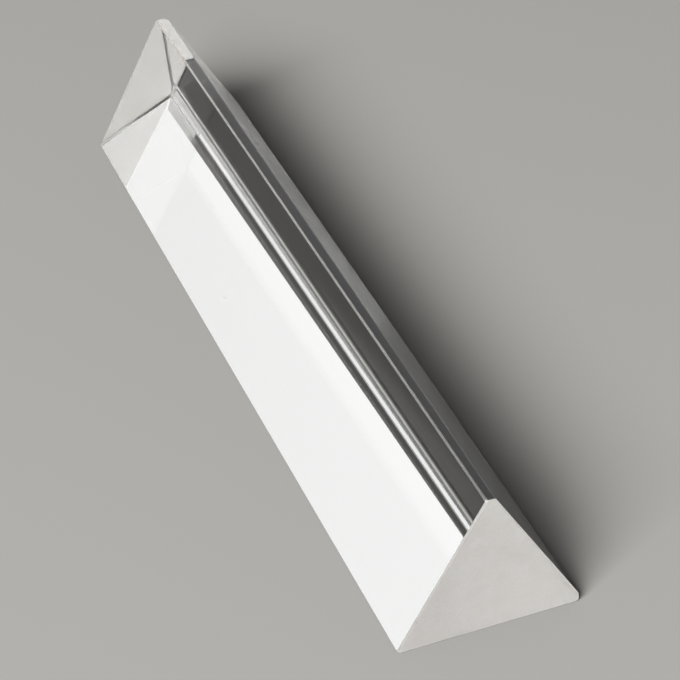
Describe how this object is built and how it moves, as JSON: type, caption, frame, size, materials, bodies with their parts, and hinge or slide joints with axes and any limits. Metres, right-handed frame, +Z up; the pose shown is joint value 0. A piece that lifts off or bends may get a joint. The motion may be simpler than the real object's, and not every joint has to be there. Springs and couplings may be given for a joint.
{
  "type": "glass prism",
  "caption": "Solid triangular bar of clear glass with polished long faces and ground ends, lying on one face; bends light and splits it into its colours.",
  "frame": {"origin": "on the resting long face, half way along the bar and straight under the ridge", "axes": "+X along the bar, +Y across it towards the wider eased edge, +Z up from the resting face to the ridge"},
  "size_m": [0.15, 0.0286, 0.0244],
  "materials": {
    "optical_glass": "long faces and edge flats polished clear, both ends fine ground to a grey-white matt"
  },
  "bodies": {
    "root": {"glass_prism": "optical_glass"}
  },
  "joints": []
}
